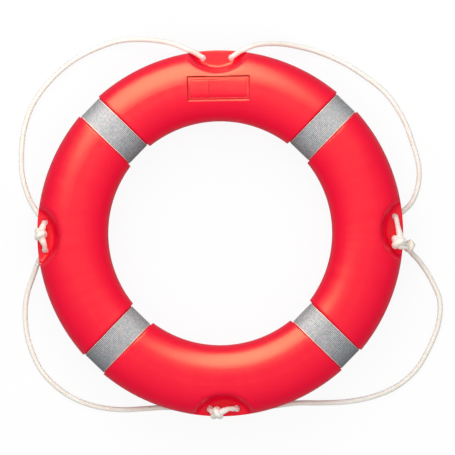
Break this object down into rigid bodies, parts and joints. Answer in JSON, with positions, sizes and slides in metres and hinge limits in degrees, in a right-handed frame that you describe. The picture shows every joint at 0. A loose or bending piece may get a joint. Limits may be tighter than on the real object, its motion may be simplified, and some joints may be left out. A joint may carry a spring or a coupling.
{
  "type": "life ring",
  "caption": "Throwable rescue ring: a moulded hollow shell filled with foam, reflective tape in recessed bands, pockets at the rim with webs and rope holes, and a looped, knotted grab line.",
  "frame": {"origin": "on the ring's axis, level with its back face, which rests on the ground", "axes": "+Z along the ring's axis, out of its front; +Y towards the pocket with the recessed plate; +X to the right as seen from the front"},
  "size_m": [0.8292, 0.7548, 0.1102],
  "materials": {
    "shell": "moulded, satin gloss",
    "foam": "cellular, matte",
    "plug": "moulded, satin",
    "tape": "silver grey, retroreflective",
    "rope": "braided, matte"
  },
  "bodies": {
    "root": {"ring_shell": "shell", "foam_core": "foam", "filling_plug": "plug", "vent_plug": "plug", "reflective_tape_upper_left": "tape", "reflective_tape_upper_right": "tape", "reflective_tape_lower_left": "tape", "reflective_tape_lower_right": "tape", "line_through_top_pocket": "rope", "knot_at_left_pocket": "rope", "knot_at_bottom_pocket": "rope", "knots_at_right_pocket": "rope", "grab_line_upper_left": "rope", "grab_line_upper_right": "rope", "grab_line_lower_left": "rope", "grab_line_lower_right": "rope"}
  },
  "joints": []
}
